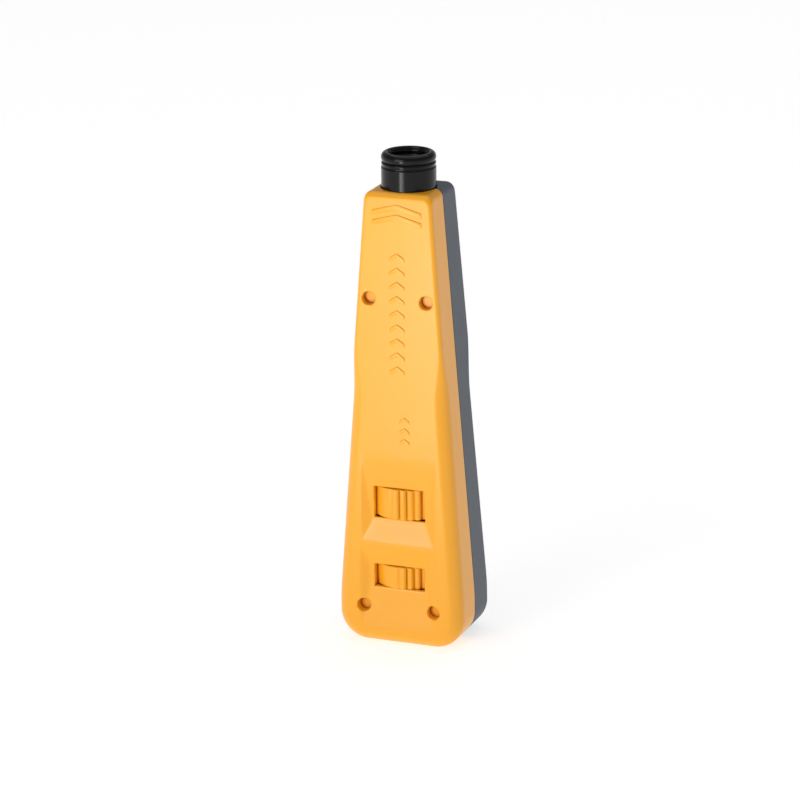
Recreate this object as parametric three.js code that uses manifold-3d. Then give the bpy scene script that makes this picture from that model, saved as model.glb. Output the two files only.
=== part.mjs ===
// Impact punch down tool, standing on its butt: +Z runs up the tool to the nose, the window side faces -Y.
// Millimetres. The origin is on the ground under the tool's long axis, and the two shells part at y = 0.
import * as THREE from 'three';
import { ConvexGeometry } from 'three/addons/geometries/ConvexGeometry.js';
import { mergeVertices } from 'three/addons/utils/BufferGeometryUtils.js';
import Module from 'manifold-3d';

// ---------- driving dimensions ----------

const BODY_LENGTH = 137.1; // butt to the shoulder that the nose comes out of
const BUTT_HALF_WIDTH = 19.45;
const SHOULDER_HALF_WIDTH = 10.29;
const TAPER_FROM = 14.6; // height where the straight sides begin
const BUTT_CORNER_RADIUS = 9;
const SHOULDER_CORNER_RADIUS = 2.4;
const FRONT_DEPTH = 13.5; // parting plane to the front face, at the butt
const REAR_DEPTH = 14.3;
const FACE_SLOPE = 0.026; // how fast both faces close in towards the nose
const EDGE_WIDE = 4; // rounding of the long edges below the waist
const EDGE_NARROW = 1.2; // and above it
const EDGE_TOP_EXTRA = 0.7; // added round the shoulder
const WAIST_LOW = 74;
const WAIST_HIGH = 92;
const WALL = 2.2;
const PARTING_GAP = 0.3;
const GAP = 0.3; // between pieces that nearly touch

const TRAVEL = 8; // how far the nose is pushed in
const NOSE_RADIUS = 8;
const NOSE_BORE_RADIUS = 8.3; // in the housing
const NOSE_BOTTOM = 118;
const SHOULDER_STOP = 121.3; // the nose's lugs rest under this height
const SOCKET_BORE = 7; // inside the nose, for what is put in from below
const SOCKET_MOUTH = 5.55;
const LINER_BOTTOM = 127;
const BLADE_SEAT_BOTTOM = 131;
const BLADE_SEAT_TOP = 134;
const RETAINING_RING_BOTTOM = 118.6;

const STEM_RADIUS = 3;
const STEM_HEAD_BOTTOM = 121.9;
const STEM_HEAD_TOP = 125.4;
const HAMMER_RADIUS = 7;
const HAMMER_BOTTOM = 72;
const HAMMER_TOP = 94.7;
const HAMMER_FLAT = 6.1; // the milled side that passes the trip ramp
const HAMMER_BORE_BOTTOM = 80;
const SPIGOT_RADIUS = 3.8;
const LATCH_BOTTOM = 89.5;
const LATCH_THICKNESS = 2.4;
const LATCH_SHIFT = 1.6; // sideways, over the whole travel
const LATCH_TIP = 7.9;
const GUIDE_PLATE_BOTTOM = 96.5;
const GUIDE_PLATE_TOP = 99;

const SEAT_TOP = 54.2;
const SEAT_BOTTOM = 51.6;
const SEAT_ARM_BOTTOM = 51.3;
const SEAT_DROP = 2.5; // from high to low force

const DIAL_TURN = 40; // degrees, both dials
const DIAL_RADIUS = 12;
const DIAL_HUB = 8;
const DIAL_FLANGE = 9.6; // radius of the rim that the detent springs press on
const SELECTOR_FLANGE = 41.9; // height of that rim's underside
const LOCK_FLANGE = 19.9;
const DETENT_HEIGHT = 4;
const SELECTOR_BOTTOM = 39.1;
const SELECTOR_TOP = 48.3;
const LOCK_BOTTOM = 17.1;
const LOCK_TOP = 24.2;
const WINDOW_HALF_WIDTH = 7.9;

const TUBE_BORE = 5.2;
const TUBE_RADIUS = 6.2;
const TUBE_TOP = 48.2;
const MOUTH_RADIUS = 6.6;

const SCREW_PLACES = [
  { name: 'screw_upper_left', x: -8.85, z: 105.6 },
  { name: 'screw_upper_right', x: 8.85, z: 105.6 },
  { name: 'screw_lower_left', x: -11, z: 11.55 },
  { name: 'screw_lower_right', x: 11, z: 11.55 },
];
const SCREW_SHANK = 1.45;
const SCREW_HEAD = 2.7;
const SCREW_HEAD_HEIGHT = 1.9;
const SCREW_LENGTH = 15;
const SCREW_SINK = 2.6; // rear face to the seat of the head
const BOSS_RADIUS = 2.9;
const DIMPLE_RADIUS = 2.05;
const DIMPLE_DEPTH = 2.2;
const SCOOPED_BY = 0.9; // how much lower the face lies around the two lower dimples

// ---------- finishes ----------

function finish(color, roughness, metalness) {
  return new THREE.MeshStandardMaterial({ color, roughness, metalness });
}

const YELLOW = finish(0xf9b448, 0.38, 0);
const SLATE = finish(0x5d636a, 0.6, 0);
const BLACK = finish(0x141415, 0.3, 0);
const NATURAL = finish(0xd9d2c0, 0.5, 0);
const RUBBER = finish(0x1c1c1c, 0.85, 0);
const STEEL = finish(0xa8abb0, 0.35, 1);
const SPRING_STEEL = finish(0x7d8187, 0.3, 1);

// ---------- solids ----------

const wasm = await Module();
wasm.setup();

/** A closed three.js geometry as a solid that can be joined and cut, with its faces pointing out. */
function solid(geometry) {
  const bare = geometry.clone();
  bare.deleteAttribute('normal');
  bare.deleteAttribute('uv');
  const merged = mergeVertices(bare, 1e-4);
  const index = merged.index.array;
  const corners = [];
  for (let i = 0; i < index.length; i += 3) {
    const [a, b, c] = [index[i], index[i + 1], index[i + 2]];
    if (a !== b && b !== c && c !== a) corners.push(a, b, c);
  }
  const vertProperties = new Float32Array(merged.attributes.position.array);
  const build = (triangles) =>
    new wasm.Manifold(new wasm.Mesh({ numProp: 3, vertProperties, triVerts: new Uint32Array(triangles) }));
  const body = build(corners);
  return body.volume() > 0 ? body : build(corners.reverse());
}

function joined(solids) {
  return solids.reduce((whole, piece) => whole.add(piece));
}

function cut(body, tools) {
  return tools.reduce((rest, tool) => rest.subtract(tool), body);
}

/** A solid back as a flat-shaded geometry. */
function geometryOf(body) {
  const mesh = body.getMesh();
  const geometry = new THREE.BufferGeometry();
  geometry.setAttribute('position', new THREE.BufferAttribute(mesh.vertProperties, 3));
  geometry.setIndex(new THREE.BufferAttribute(mesh.triVerts, 1));
  const flat = geometry.toNonIndexed();
  flat.computeVertexNormals();
  return flat;
}

function part(name, body, material) {
  const mesh = new THREE.Mesh(geometryOf(body), material);
  mesh.name = name;
  return mesh;
}

/** Turned about Z: the profile is a list of [radius, height]. */
function turned(profile, segments = 24) {
  const points = profile.map(([r, z]) => new THREE.Vector2(r, z));
  return solid(new THREE.LatheGeometry(points, segments).rotateX(Math.PI / 2));
}

function disc(radius, bottom, top, segments = 24) {
  return turned([[0, bottom], [radius, bottom], [radius, top], [0, top]], segments);
}

function ring(inner, outer, bottom, top, segments = 24) {
  return turned([[inner, bottom], [outer, bottom], [outer, top], [inner, top], [inner, bottom]], segments);
}

function block(x, y, z) {
  const geometry = new THREE.BoxGeometry(x[1] - x[0], y[1] - y[0], z[1] - z[0]);
  return solid(geometry.translate((x[0] + x[1]) / 2, (y[0] + y[1]) / 2, (z[0] + z[1]) / 2));
}

/** A round bar or hole that runs front to back. */
function crossPin(x, z, radius, y, segments = 20) {
  const geometry = new THREE.CylinderGeometry(radius, radius, y[1] - y[0], segments);
  return solid(geometry.translate(x, (y[0] + y[1]) / 2, z));
}

/** An outline in the XY plane, raised from bottom to top. */
function raised(outline, bottom, top) {
  const settings = { depth: top - bottom, bevelEnabled: false, curveSegments: 12 };
  return solid(new THREE.ExtrudeGeometry(outline, settings).translate(0, 0, bottom));
}

const radians = THREE.MathUtils.degToRad;

/** A piece of a ring, from angle a to angle b in degrees, whose outer radius may change with the angle. */
function sector(inner, outerAt, a, b, bottom, top, steps) {
  const points = [];
  for (let i = 0; i <= steps; i++) {
    const angle = a + ((b - a) * i) / steps;
    const r = outerAt(angle);
    points.push(new THREE.Vector2(r * Math.cos(radians(angle)), r * Math.sin(radians(angle))));
  }
  const inside = Math.ceil((b - a) / 12);
  for (let i = inside; i >= 0; i--) {
    const angle = radians(a + ((b - a) * i) / inside);
    points.push(new THREE.Vector2(inner * Math.cos(angle), inner * Math.sin(angle)));
  }
  return raised(new THREE.Shape(points), bottom, top);
}

/** The centre line of a coil about Z. */
class Helix extends THREE.Curve {
  constructor(radius, bottom, top, turns) {
    super();
    Object.assign(this, { radius, bottom, top, turns });
  }

  getPoint(t, target = new THREE.Vector3()) {
    const angle = t * this.turns * 2 * Math.PI;
    const z = this.bottom + (this.top - this.bottom) * t;
    return target.set(this.radius * Math.cos(angle), this.radius * Math.sin(angle), z);
  }
}

function coil({ radius, wire, bottom, top, turns, stepsPerTurn = 12, sides = 6 }) {
  const section = new THREE.Shape();
  for (let i = 0; i < sides; i++) {
    const angle = (i / sides) * 2 * Math.PI;
    const [x, y] = [wire * Math.cos(angle), wire * Math.sin(angle)];
    if (i === 0) section.moveTo(x, y);
    else section.lineTo(x, y);
  }
  const extrudePath = new Helix(radius, bottom + wire, top - wire, turns);
  const steps = Math.round(turns * stepsPerTurn);
  return solid(new THREE.ExtrudeGeometry(section, { steps, extrudePath }));
}

// ---------- the housing's outer form ----------

const TAPER = (BUTT_HALF_WIDTH - SHOULDER_HALF_WIDTH) / (BODY_LENGTH - TAPER_FROM);
const WAIST_STEPS = 3;

function halfWidth(z) {
  return BUTT_HALF_WIDTH - Math.max(0, z - TAPER_FROM) * TAPER;
}

function frontDepth(z) {
  return FRONT_DEPTH - FACE_SLOPE * z;
}

function rearDepth(z) {
  return REAR_DEPTH - FACE_SLOPE * z;
}

function edgeAt(z) {
  const { lerp, smoothstep } = THREE.MathUtils;
  const side = lerp(EDGE_WIDE, EDGE_NARROW, smoothstep(z, WAIST_LOW, WAIST_HIGH));
  return side + EDGE_TOP_EXTRA * smoothstep(z, BODY_LENGTH - 3.5, BODY_LENGTH - 0.5);
}

/** The outline in the XZ plane, inset from the tool's own, as points with outward normals. */
function outline(inset, top, topRadius) {
  const right = [];
  const arc = (cx, cz, radius, from, to, steps) => {
    for (let i = 0; i <= steps; i++) {
      const angle = from + ((to - from) * i) / steps;
      const [nx, nz] = [Math.cos(angle), Math.sin(angle)];
      right.push({ x: cx + radius * nx, z: cz + radius * nz, nx, nz });
    }
  };
  const buttCentre = BUTT_HALF_WIDTH - BUTT_CORNER_RADIUS;
  arc(buttCentre, BUTT_CORNER_RADIUS, BUTT_CORNER_RADIUS - inset, -Math.PI / 2, 0, 6);
  const lean = Math.atan(TAPER);
  const sideHeights = [TAPER_FROM, 44];
  for (let i = 0; i <= WAIST_STEPS; i++) {
    sideHeights.push(WAIST_LOW + ((WAIST_HIGH - WAIST_LOW) * i) / WAIST_STEPS);
  }
  for (const z of sideHeights) {
    right.push({ x: halfWidth(z) - inset, z, nx: Math.cos(lean), nz: Math.sin(lean) });
  }
  const cornerZ = top - topRadius;
  const cornerX = halfWidth(cornerZ) - inset - topRadius;
  arc(cornerX, cornerZ, topRadius, lean, Math.PI / 2, 2);
  const left = right.map(({ x, z, nx, nz }) => ({ x: -x, z, nx: -nx, nz })).reverse();
  return [...right, ...left];
}

/** Rungs from the right half of a loop to its mirrored left half, which close the loop. */
function capOf(count, first, forward) {
  const triangles = [];
  for (let i = 0; i + 1 < count / 2; i++) {
    const [a, b, c, d] = [i, i + 1, count - 2 - i, count - 1 - i].map((k) => k + first);
    triangles.push(...(forward ? [a, b, c, a, c, d] : [a, c, b, a, d, c]));
  }
  return triangles;
}

// Steps across a long edge: how far in from the side and how far down from the face, in parts of the edge.
const ROUNDED = [[0, 1], [0.23, 0.58], [0.58, 0.23], [1, 0]];
const CHAMFERED = [[0, 1], [1, 0]];

/** Half a housing: the outline, carried from the parting plane to a face whose long edges are broken. */
function halfForm({ side, start, inset, top, topRadius, depth, edge, edgeSteps }) {
  const loop = outline(inset, top, topRadius);
  const rings = [loop.map((p) => new THREE.Vector3(p.x, side * start, p.z))];
  for (const [inwards, drop] of edgeSteps) {
    rings.push(loop.map((p) => {
      const size = edge(p.z);
      const z = p.z - p.nz * inwards * size;
      return new THREE.Vector3(p.x - p.nx * inwards * size, side * (depth(z) - drop * size), z);
    }));
  }
  const count = loop.length;
  const index = capOf(count, 0, false);
  for (let r = 0; r + 1 < rings.length; r++) {
    for (let i = 0; i < count; i++) {
      const [a, b] = [r * count + i, r * count + ((i + 1) % count)];
      index.push(a, b, b + count, a, b + count, a + count);
    }
  }
  index.push(...capOf(count, (rings.length - 1) * count, true));
  const geometry = new THREE.BufferGeometry().setFromPoints(rings.flat());
  geometry.setIndex(index);
  return solid(geometry);
}

function outerForm(side, depth) {
  return halfForm({
    side,
    depth,
    start: PARTING_GAP / 2,
    inset: 0,
    top: BODY_LENGTH,
    topRadius: SHOULDER_CORNER_RADIUS,
    edge: edgeAt,
    edgeSteps: ROUNDED,
  });
}

/** The hollow inside a shell, WALL thick all round and closed below the nose's bore. */
function hollow(side, depth) {
  return halfForm({
    side,
    depth: (z) => depth(z) - WALL,
    start: -1,
    inset: WALL,
    top: SHOULDER_STOP,
    topRadius: 0.8,
    edge: (z) => Math.max(0.3, edgeAt(z) - 0.586 * WALL),
    edgeSteps: CHAMFERED,
  });
}

// ---------- what both shells hold ----------

const BULKHEADS = [
  { z: 28, hole: TUBE_RADIUS + 0.2 },
  { z: 33, hole: TUBE_RADIUS + 0.2 },
  { z: 66, hole: HAMMER_RADIUS + 0.4 },
  { z: 94.6, hole: HAMMER_RADIUS + 0.4 },
  { z: GUIDE_PLATE_TOP + GAP, hole: 6 },
];
const BULKHEAD_THICKNESS = 1.6;
const BEYOND = 20; // past the housing on any side, so the outer form does the trimming
const TRACK_BOTTOM = 51.5;
const TRACK_TOP = 57;
const SEAT_ARM_HALF = 1.7; // half the breadth of the spring seat's arms, which slide in the tracks
const RAMP_LOW = 78;
const RAMP_HIGH = 94;
const RAMP_HALF = 3; // half the breadth of the trip ramp

/** Walls, tracks and ribs between the parting plane and the given reach, on the side that faces outwards. */
function innerRibs(side, reach) {
  const span = (near, far) => (side < 0 ? [-far, -near] : [near, far]);
  const near = PARTING_GAP / 2;
  const walls = BULKHEADS.map(({ z, hole }) => {
    const wall = block([-BEYOND, BEYOND], span(near, reach), [z, z + BULKHEAD_THICKNESS]);
    return wall.subtract(disc(hole, z - 1, z + BULKHEAD_THICKNESS + 1, 20));
  });
  const tracks = [[8.4, BEYOND], [-BEYOND, -8.4]].map((x) =>
    block(x, span(SEAT_ARM_HALF + GAP, 3.2), [TRACK_BOTTOM, TRACK_TOP]));
  const rampCheek = block([9.5, 14], span(RAMP_HALF + GAP, 4.5), [RAMP_LOW, RAMP_HIGH]);
  return joined([...walls, ...tracks, rampCheek]);
}

function commonCuts() {
  return [
    disc(NOSE_BORE_RADIUS, SHOULDER_STOP - 2.3, BODY_LENGTH + 2, 40),
    disc(MOUTH_RADIUS + GAP, -1, WALL + 1, 28),
  ];
}

// ---------- front shell ----------

const FACE_OUT = -25; // well in front of the face

/** A point on the front face, sunk by depth. */
function onFace(x, z, depth) {
  return new THREE.Vector3(x, depth - frontDepth(z), z);
}

/** A hollow pressed into the face: rows of [height, depth, half width], widest at the face itself. */
function faceScoop(rows) {
  const points = [];
  for (const [z, depth, half] of rows) {
    for (const x of [-half, half]) {
      points.push(onFace(x, z, depth));
      if (depth === 0) points.push(new THREE.Vector3(x, FACE_OUT, z));
    }
  }
  return solid(new ConvexGeometry(points));
}

const UPPER_SCOOP = [[58.1, 0, 11.6], [38.2, 1.8, 8.5], [31.9, 0, 11.6]];
const LOWER_SCOOP = [[30.2, 0, 12], [24.6, 1.45, 9], [19, 1.6, 9], [10, 0.8, 10.5], [4.5, 0, 12]];
const SCOOP_BACK = [14, 60]; // the thicker wall behind both scoops
const UPPER_WINDOW = [38.8, 48.6];
const LOWER_WINDOW = [17.5, 24.5];

/** A convex mark that stands proud of the front face: an outline of [x, z]. */
function raisedMark(points, height) {
  return solid(new ConvexGeometry(points.flatMap(([x, z]) => [onFace(x, z, 1), onFace(x, z, -height)])));
}

/** Chevrons that point at the blade, each made of two slanting strokes. */
function chevronColumn({ x, z, pitch, count, half, rise, stroke }) {
  const marks = [];
  for (let i = 0; i < count; i++) {
    const foot = z + i * pitch;
    for (const end of [x - half, x + half]) {
      const points = [[end, foot], [x, foot + rise], [x, foot + rise + stroke], [end, foot + stroke]];
      marks.push(raisedMark(points, 0.3));
    }
  }
  return marks;
}

function faceChevrons() {
  return [
    ...chevronColumn({ x: 0, z: 127.6, pitch: 2.9, count: 2, half: 7.6, rise: 2, stroke: 1.4 }),
    ...chevronColumn({ x: 0, z: 83.5, pitch: 4.2, count: 9, half: 2.3, rise: 1.5, stroke: 1 }),
    ...chevronColumn({ x: 2.2, z: 62.5, pitch: 3.2, count: 3, half: 1.5, rise: 1, stroke: 0.8 }),
  ];
}

function frontShell() {
  const outer = outerForm(-1, frontDepth);
  const bosses = SCREW_PLACES.map(({ x, z }) =>
    crossPin(x, z, BOSS_RADIUS, [-BEYOND, -PARTING_GAP / 2], 12));
  const back = block([-11.5, 11.5], [-BEYOND, -8.9], SCOOP_BACK);
  const held = joined([innerRibs(-1, BEYOND), back, ...bosses]).intersect(outer);
  const windows = [UPPER_WINDOW, LOWER_WINDOW].map((z) =>
    block([-WINDOW_HALF_WIDTH, WINDOW_HALF_WIDTH], [FACE_OUT, -5], z));
  const dialSpans = [UPPER_WINDOW, [LOCK_BOTTOM, LOWER_WINDOW[1]]];
  const dialRooms = dialSpans.map(([low, high]) => disc(DIAL_RADIUS + GAP, low - GAP, high + GAP, 36));
  const dimples = SCREW_PLACES.map(({ x, z }) => {
    const lowered = z < SCOOP_BACK[0] ? SCOOPED_BY : 0;
    return crossPin(x, z, DIMPLE_RADIUS, [FACE_OUT, DIMPLE_DEPTH + lowered - frontDepth(z)]);
  });
  const pilots = SCREW_PLACES.map(({ x, z }) => crossPin(x, z, SCREW_SHANK + 0.1, [-7, 1], 12));
  const scoops = [UPPER_SCOOP, LOWER_SCOOP].map(faceScoop);
  const body = joined([outer.subtract(hollow(-1, frontDepth)), held, ...faceChevrons()]);
  return cut(body, [...commonCuts(), ...scoops, ...windows, ...dialRooms, ...dimples, ...pilots]);
}

// ---------- rear shell ----------

const GRIP_GROOVES = { first: 58, pitch: 4.4, count: 8, width: 1.6, depth: 0.7, half: 8.5 };

function screwSeat(z) {
  return rearDepth(z) - SCREW_SINK;
}

function rearShell() {
  const outer = outerForm(1, rearDepth);
  const bosses = SCREW_PLACES.flatMap(({ x, z }) => [
    crossPin(x, z, BOSS_RADIUS, [PARTING_GAP / 2, BEYOND], 12),
    crossPin(x, z, 4.2, [screwSeat(z) - 1.8, BEYOND], 16),
  ]);
  const leafStops = [LOCK_FLANGE, SELECTOR_FLANGE].flatMap((z) =>
    [[-8.4, -7], [7, 8.4]].map((x) => block(x, [9.4, BEYOND], [z - 1, z - 1 + DETENT_HEIGHT])));
  const held = joined([innerRibs(1, BEYOND), ...bosses, ...leafStops]).intersect(outer);
  const holes = SCREW_PLACES.flatMap(({ x, z }) => [
    crossPin(x, z, SCREW_SHANK + 0.15, [-1, BEYOND], 12),
    crossPin(x, z, SCREW_HEAD + GAP, [screwSeat(z), BEYOND]),
  ]);
  const grooves = [];
  for (let i = 0; i < GRIP_GROOVES.count; i++) {
    const z = GRIP_GROOVES.first + i * GRIP_GROOVES.pitch;
    const floor = rearDepth(z) - GRIP_GROOVES.depth;
    const [across, up] = [[-GRIP_GROOVES.half, GRIP_GROOVES.half], [z, z + GRIP_GROOVES.width]];
    grooves.push(block(across, [floor, BEYOND], up));
  }
  return cut(outer.subtract(hollow(1, rearDepth)).add(held), [...commonCuts(), ...holes, ...grooves]);
}

// ---------- nose and blade socket ----------

function bladeSocket() {
  const collar = [];
  for (let i = 0; i <= 6; i++) {
    const angle = radians(-50 + (i * 140) / 6);
    collar.push([6.6 + 1.4 * Math.cos(angle), 145.95 + 1.55 * Math.sin(angle)]);
  }
  const sleeve = turned([
    [SOCKET_BORE, NOSE_BOTTOM],
    [NOSE_RADIUS, NOSE_BOTTOM],
    [NOSE_RADIUS, 143.1],
    [7.7, 143.5],
    [7.95, 144],
    [7.95, 144.4],
    ...collar,
    [SOCKET_MOUTH + 0.4, 147.3],
    [SOCKET_MOUTH, 146.9],
    [SOCKET_MOUTH, 145.9],
    [SOCKET_BORE, 145.6],
    [SOCKET_BORE, NOSE_BOTTOM],
  ], 32);
  const lugs = [[-8.9, -7.4], [7.4, 8.9]].map((x) =>
    block(x, [-2.5, 2.5], [NOSE_BOTTOM, SHOULDER_STOP - GAP]));
  const rimNotch = block([-0.9, 0.9], [-6.4, -5], [146.4, 148]);
  return cut(joined([sleeve, ...lugs]), [rimNotch]);
}

/** A sleeve with two L-shaped slots, where the blade's lugs go in and turn to lock. */
function socketLiner() {
  const top = 145.3;
  const slotFloor = 138.5;
  const slots = [0, 180].flatMap((turn) => [
    sector(5, () => 8, turn - 12, turn + 12, slotFloor, top + 1, 2),
    sector(5, () => 8, turn - 12, turn + 48, slotFloor, slotFloor + 2.8, 5),
  ]);
  return cut(ring(SOCKET_MOUTH + 0.05, SOCKET_BORE - 0.15, LINER_BOTTOM, top, 32), slots);
}

function socketRetainingRing() {
  return ring(STEM_RADIUS + GAP, SOCKET_BORE - 0.15, RETAINING_RING_BOTTOM, STEM_HEAD_BOTTOM - GAP);
}

function bladeSeat() {
  return turned([
    [0, 127.8],
    [2.2, 127.8],
    [2.2, BLADE_SEAT_BOTTOM],
    [5.2, BLADE_SEAT_BOTTOM],
    [5.2, BLADE_SEAT_TOP - 0.6],
    [4.6, BLADE_SEAT_TOP],
    [0, BLADE_SEAT_TOP],
  ]);
}

function plungerStem() {
  const tip = LATCH_BOTTOM + LATCH_THICKNESS + GAP;
  return turned([
    [0, tip],
    [STEM_RADIUS - 0.4, tip],
    [STEM_RADIUS, tip + 0.4],
    [STEM_RADIUS, STEM_HEAD_BOTTOM],
    [SOCKET_BORE - GAP, STEM_HEAD_BOTTOM],
    [SOCKET_BORE - GAP, STEM_HEAD_TOP],
    [0, STEM_HEAD_TOP],
  ]);
}

/** Pushes the nose back out: it stands on the guide plate, under the ring that holds the socket together. */
function returnCoil() {
  const [bottom, top] = [GUIDE_PLATE_TOP, RETAINING_RING_BOTTOM];
  return coil({ radius: 4.7, wire: 0.5, bottom, top, turns: 7, stepsPerTurn: 10 });
}

// ---------- hammer and its release ----------

function hammer() {
  const mass = turned([
    [0, HAMMER_BOTTOM - 5],
    [SPIGOT_RADIUS - 0.6, HAMMER_BOTTOM - 5],
    [SPIGOT_RADIUS, HAMMER_BOTTOM - 4.4],
    [SPIGOT_RADIUS, HAMMER_BOTTOM],
    [HAMMER_RADIUS - 0.5, HAMMER_BOTTOM],
    [HAMMER_RADIUS, HAMMER_BOTTOM + 0.5],
    [HAMMER_RADIUS, HAMMER_TOP - 0.5],
    [HAMMER_RADIUS - 0.5, HAMMER_TOP],
    [0, HAMMER_TOP],
  ]);
  return cut(mass, [
    disc(STEM_RADIUS + GAP, HAMMER_BORE_BOTTOM, HAMMER_TOP + 1),
    block([-6.3, 8], [-5.05, 5.05], [LATCH_BOTTOM - GAP, LATCH_BOTTOM + LATCH_THICKNESS + GAP]),
    block([HAMMER_FLAT, 8], [-8, 8], [HAMMER_BOTTOM - 1, HAMMER_TOP + 1]),
  ]);
}

/** The plate that carries the stem until its hole has moved in line with it. */
function latchPlate() {
  const plate = new THREE.Shape();
  plate.moveTo(-3.2, -4.8);
  plate.lineTo(4.6, -4.8);
  plate.lineTo(4.6, -2.8);
  plate.lineTo(LATCH_TIP, -2.8);
  plate.lineTo(LATCH_TIP, 2.8);
  plate.lineTo(4.6, 2.8);
  plate.lineTo(4.6, 4.8);
  plate.lineTo(-3.2, 4.8);
  const hole = new THREE.Path();
  hole.absarc(LATCH_SHIFT, 0, STEM_RADIUS + 0.4, 0, 2 * Math.PI, true);
  plate.holes.push(hole);
  return raised(plate, LATCH_BOTTOM, LATCH_BOTTOM + LATCH_THICKNESS);
}

/** Pushes the latch plate back as the hammer is drawn down past it. */
function tripRamp() {
  const tip = LATCH_TIP + 0.2;
  const profile = new THREE.Shape();
  profile.moveTo(halfWidth(RAMP_LOW) - WALL - GAP, RAMP_LOW);
  profile.lineTo(halfWidth(RAMP_HIGH) - WALL - GAP, RAMP_HIGH);
  profile.lineTo(tip, RAMP_HIGH);
  profile.lineTo(tip, LATCH_BOTTOM);
  profile.lineTo(tip - LATCH_SHIFT, LATCH_BOTTOM - TRAVEL);
  profile.lineTo(tip - LATCH_SHIFT, RAMP_LOW);
  const geometry = new THREE.ExtrudeGeometry(profile, { depth: 2 * RAMP_HALF, bevelEnabled: false });
  return solid(geometry.rotateX(Math.PI / 2).translate(0, RAMP_HALF, 0));
}

function guidePlate() {
  const plate = new THREE.Shape();
  const [x, y, r] = [9.4, 7.6, 1.5];
  plate.absarc(x - r, y - r, r, 0, Math.PI / 2);
  plate.absarc(r - x, y - r, r, Math.PI / 2, Math.PI);
  plate.absarc(r - x, r - y, r, Math.PI, 1.5 * Math.PI);
  plate.absarc(x - r, r - y, r, 1.5 * Math.PI, 2 * Math.PI);
  const hole = new THREE.Path();
  hole.absarc(0, 0, STEM_RADIUS + GAP, 0, 2 * Math.PI, true);
  plate.holes.push(hole);
  const geometry = new THREE.ExtrudeGeometry(plate, {
    depth: GUIDE_PLATE_TOP - GUIDE_PLATE_BOTTOM, bevelEnabled: false, curveSegments: 6,
  });
  return solid(geometry.translate(0, 0, GUIDE_PLATE_BOTTOM));
}

// ---------- force selector, spring seat and lock dial ----------

const FACING_WINDOW = -90; // degrees
const SECTOR_FROM = FACING_WINDOW - 43;
const SECTOR_TO = FACING_WINDOW + 43 + DIAL_TURN;

/** A drum whose broad sector fills its window at both ends of its turn, with finger ribs over part of it. */
function dial({ bore, height, flangeBottom, ribFrom, ribPitch, ribCount, ribDepth }) {
  const ribTo = ribFrom + ribPitch * ribCount;
  const rim = (angle) => {
    const a = angle - FACING_WINDOW;
    if (a < ribFrom || a > ribTo) return DIAL_RADIUS;
    const wave = Math.sin((Math.PI * (a - ribFrom)) / ribPitch) ** 2;
    return DIAL_RADIUS - ribDepth * (1 - wave);
  };
  return joined([
    ring(bore, DIAL_HUB, 0, height, 28),
    ring(DIAL_HUB - 0.5, DIAL_FLANGE, flangeBottom, flangeBottom + 2, 28),
    sector(DIAL_HUB - 0.5, rim, SECTOR_FROM, SECTOR_TO, 0, height, 63),
  ]);
}

const ARM_HALF_ANGLE = 10.5; // of the spring seat's arm where it stands on its ramp
const RAMP_RADII = [8.2, 10.4];

/** A helical ramp on top of the selector: high under the arm at rest, low after the turn. */
function seatRamp(turn, base) {
  const high = SEAT_ARM_BOTTOM - GAP - SELECTOR_BOTTOM;
  const fall = SEAT_DROP / DIAL_TURN;
  const topAt = (angle) => high - fall * THREE.MathUtils.clamp(angle + ARM_HALF_ANGLE, 0, DIAL_TURN);
  const angles = [-14, -ARM_HALF_ANGLE];
  for (let i = 1; i <= 8; i++) angles.push(-ARM_HALF_ANGLE + (i * DIAL_TURN) / 8);
  const [inner, outer] = RAMP_RADII;
  const points = angles.flatMap((angle) => {
    const [c, s] = [Math.cos(radians(angle + turn)), Math.sin(radians(angle + turn))];
    const top = topAt(angle);
    return [
      new THREE.Vector3(inner * c, inner * s, base),
      new THREE.Vector3(outer * c, outer * s, base),
      new THREE.Vector3(outer * c, outer * s, top),
      new THREE.Vector3(inner * c, inner * s, top),
    ];
  });
  const index = [0, 1, 2, 0, 2, 3];
  for (let i = 0; i + 1 < angles.length; i++) {
    for (let j = 0; j < 4; j++) {
      const [a, b] = [4 * i + j, 4 * i + ((j + 1) % 4)];
      index.push(a, a + 4, b + 4, a, b + 4, b);
    }
  }
  const last = 4 * (angles.length - 1);
  index.push(last, last + 2, last + 1, last, last + 3, last + 2);
  return solid(new THREE.BufferGeometry().setFromPoints(points).setIndex(index));
}

function forceSelector() {
  const height = SELECTOR_TOP - SELECTOR_BOTTOM;
  const ribs = { ribFrom: -10.5, ribPitch: 11.4, ribCount: 4, ribDepth: 0.8 };
  const flangeBottom = SELECTOR_FLANGE - SELECTOR_BOTTOM;
  const drum = dial({ bore: TUBE_RADIUS + GAP, height, flangeBottom, ...ribs });
  const shelf = ring(DIAL_HUB - 0.5, RAMP_RADII[1], height - 1.8, height, 28);
  return joined([drum, shelf, seatRamp(0, height - 0.5), seatRamp(180, height - 0.5)]);
}

/** The lock dial's bore has two tabs, which pass behind the spare blade's lugs. */
function lockDial() {
  const height = LOCK_TOP - LOCK_BOTTOM;
  const ribs = { ribFrom: 0, ribPitch: 11, ribCount: 4, ribDepth: 0.8 };
  const drum = dial({ bore: TUBE_BORE, height, flangeBottom: LOCK_FLANGE - LOCK_BOTTOM, ...ribs });
  const tabs = [0, 180].map((turn) => sector(4.8, () => TUBE_BORE + 0.4, turn - 14, turn + 14, 1.8, 4.2, 4));
  return joined([drum, ...tabs]);
}

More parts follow.
